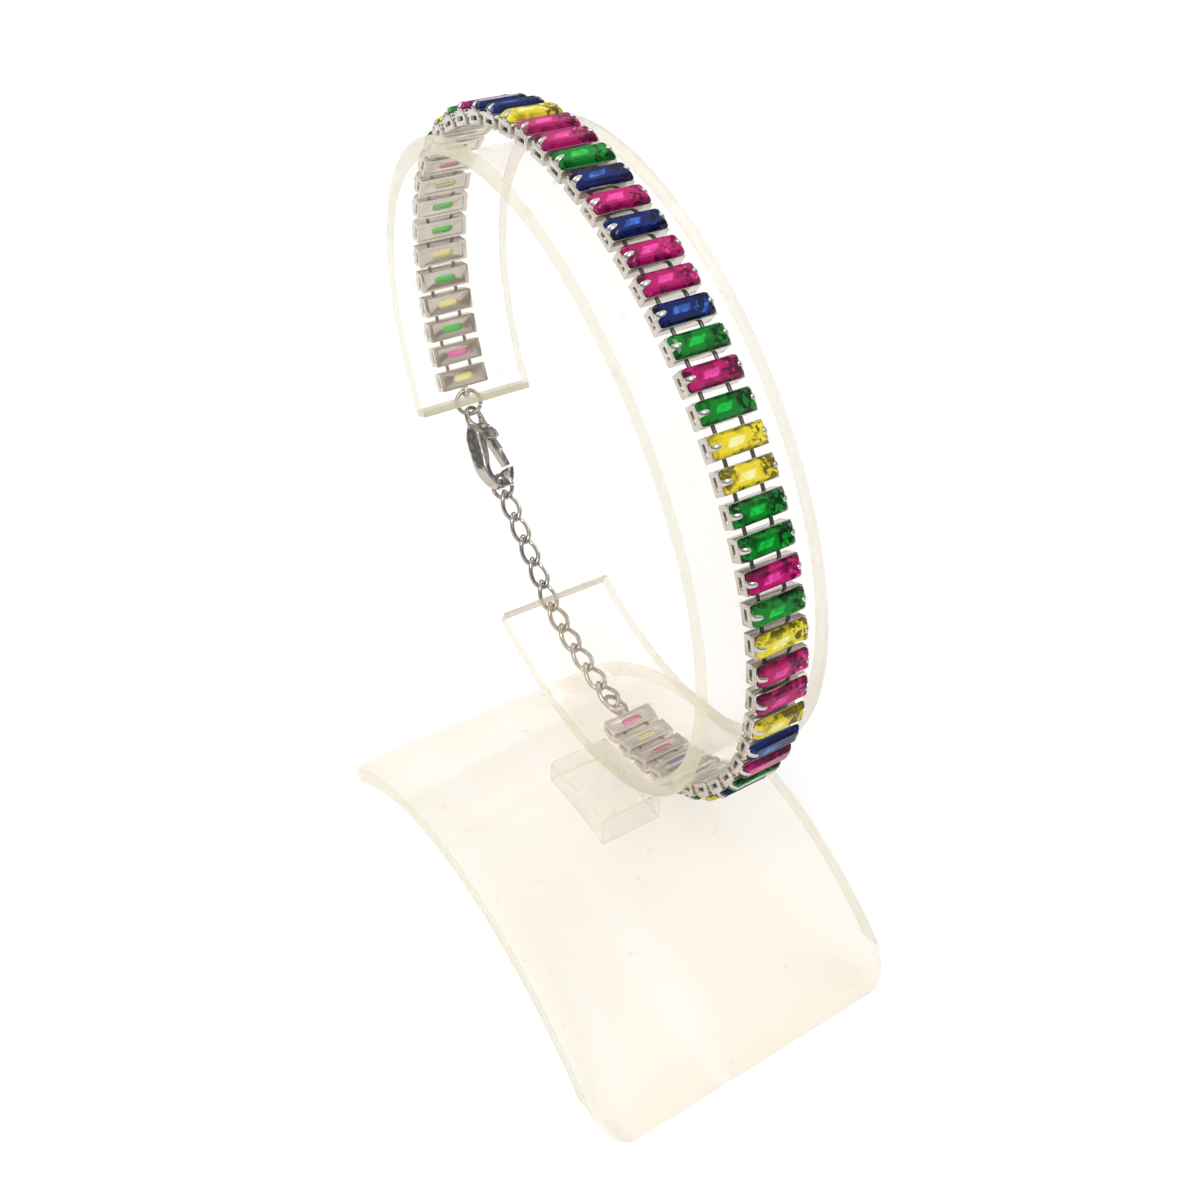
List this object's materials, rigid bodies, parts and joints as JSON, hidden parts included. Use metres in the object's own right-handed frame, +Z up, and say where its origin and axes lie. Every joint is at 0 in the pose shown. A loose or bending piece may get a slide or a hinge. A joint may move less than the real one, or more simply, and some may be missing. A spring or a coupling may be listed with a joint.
{
  "type": "tennis bracelet on display stand",
  "caption": "Tennis bracelet of oblong multicoloured stones with a lobster clasp and extender chain, shown on a clear open-band display stand with an arched base.",
  "frame": {"origin": "under the middle of the whole object, on the plane the base stands on", "axes": "+Z up, +X along the base's arch away from the band's mouth, +Y along the band's width"},
  "size_m": [0.0826, 0.039, 0.0829],
  "materials": {
    "acrylic": "clear polished acrylic, slightly cream, glossy",
    "steel": "polished silver-coloured steel",
    "stones": "cut glass stones in ruby pink, emerald green, sapphire blue and yellow, in polished silver-coloured cups"
  },
  "bodies": {
    "stand_and_bracelet": {"base_sheet": "acrylic", "band_block": "acrylic", "ring_band": "acrylic", "stone_row_upper": "stones", "stone_row_lower": "stones", "clasp_ring": "steel", "clasp_body": "steel", "hook_ring": "steel", "chain_link_01": "steel", "chain_link_02": "steel", "chain_link_03": "steel", "chain_link_04": "steel", "chain_link_05": "steel", "chain_link_06": "steel", "chain_link_07": "steel", "chain_link_08": "steel", "chain_link_09": "steel", "chain_link_10": "steel", "end_ring": "steel"},
    "lever": {"clasp_lever": "steel"}
  },
  "joints": [
    {"name": "lever_hinge", "type": "hinge", "parent": "stand_and_bracelet", "child": "lever", "pos_m": [-0.03108, 0.00831, 0.03794], "axis": [-0.6092, -0.454, -0.6502], "range_deg": [0, 15], "stiffness_Nm_per_rad": 0.0001}
  ]
}
